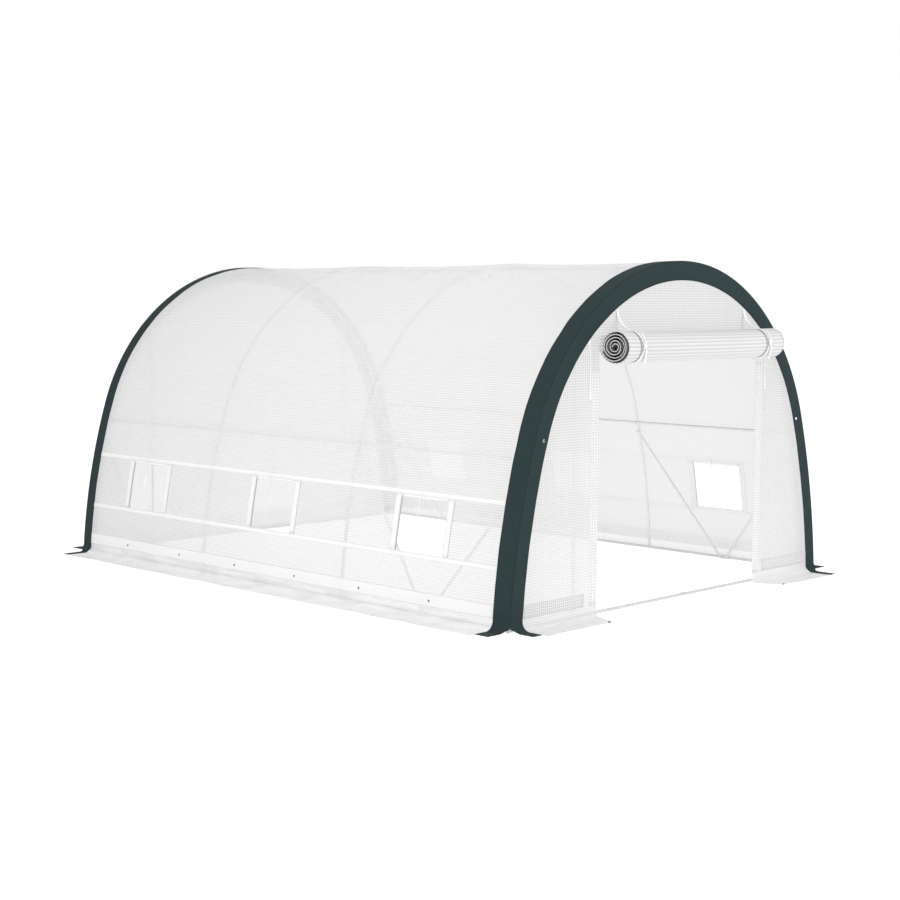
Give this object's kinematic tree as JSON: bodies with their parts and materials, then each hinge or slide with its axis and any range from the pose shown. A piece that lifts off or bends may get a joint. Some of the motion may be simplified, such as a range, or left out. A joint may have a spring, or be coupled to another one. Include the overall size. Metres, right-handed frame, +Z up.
{
  "type": "polytunnel greenhouse",
  "caption": "Walk-in polytunnel greenhouse: bent steel tube hoops under a translucent sewn cover with dark end trim, side windows, ground skirts and a rolled-up door.",
  "frame": {"origin": "middle of the tunnel on the ground: the bottom centre of its bounding box", "axes": "+X to the right as seen from the front, +Y from the doorway to the back gable, +Z up"},
  "size_m": [3.38, 4.42, 1.9972],
  "materials": {
    "frame_tube": "galvanised steel tube, dull grey",
    "cover_sheet": "translucent white sheet reinforced with a square mesh",
    "edge_trim": "dark green-grey woven sheet, matt",
    "sewn_tape": "white woven tape, sewn along both edges",
    "window_net": "fine white net",
    "tie_strap": "white flat woven strap"
  },
  "bodies": {
    "root": {"hoop_front": "frame_tube", "hoop_second": "frame_tube", "hoop_third": "frame_tube", "hoop_back": "frame_tube", "ridge_purlin": "frame_tube", "left_purlin": "frame_tube", "right_purlin": "frame_tube", "left_base_rail": "frame_tube", "right_base_rail": "frame_tube", "front_threshold": "frame_tube", "back_sill": "frame_tube", "front_door_posts": "frame_tube", "back_posts": "frame_tube", "left_braces": "frame_tube", "right_braces": "frame_tube", "brace_clamps": "frame_tube", "roof_cover": "cover_sheet", "left_window_wall": "cover_sheet", "right_window_wall": "cover_sheet", "left_lower_wall": "cover_sheet", "right_lower_wall": "cover_sheet", "left_skirt": "cover_sheet", "right_skirt": "cover_sheet", "front_left_panel": "cover_sheet", "front_right_panel": "cover_sheet", "front_top_panel": "cover_sheet", "back_panel": "cover_sheet", "front_skirts": "cover_sheet", "back_skirt": "cover_sheet", "door_roll": "cover_sheet", "front_edge_trim": "edge_trim", "back_edge_trim": "edge_trim", "left_seam_tapes": "sewn_tape", "right_seam_tapes": "sewn_tape", "left_window_strips": "sewn_tape", "right_window_strips": "sewn_tape", "side_bottom_bands": "sewn_tape", "gable_bottom_bands": "sewn_tape", "front_door_hems": "sewn_tape", "left_window_nets": "window_net", "right_window_nets": "window_net", "window_ties": "tie_strap", "roll_ties": "tie_strap", "hanging_ties": "tie_strap"}
  },
  "joints": []
}
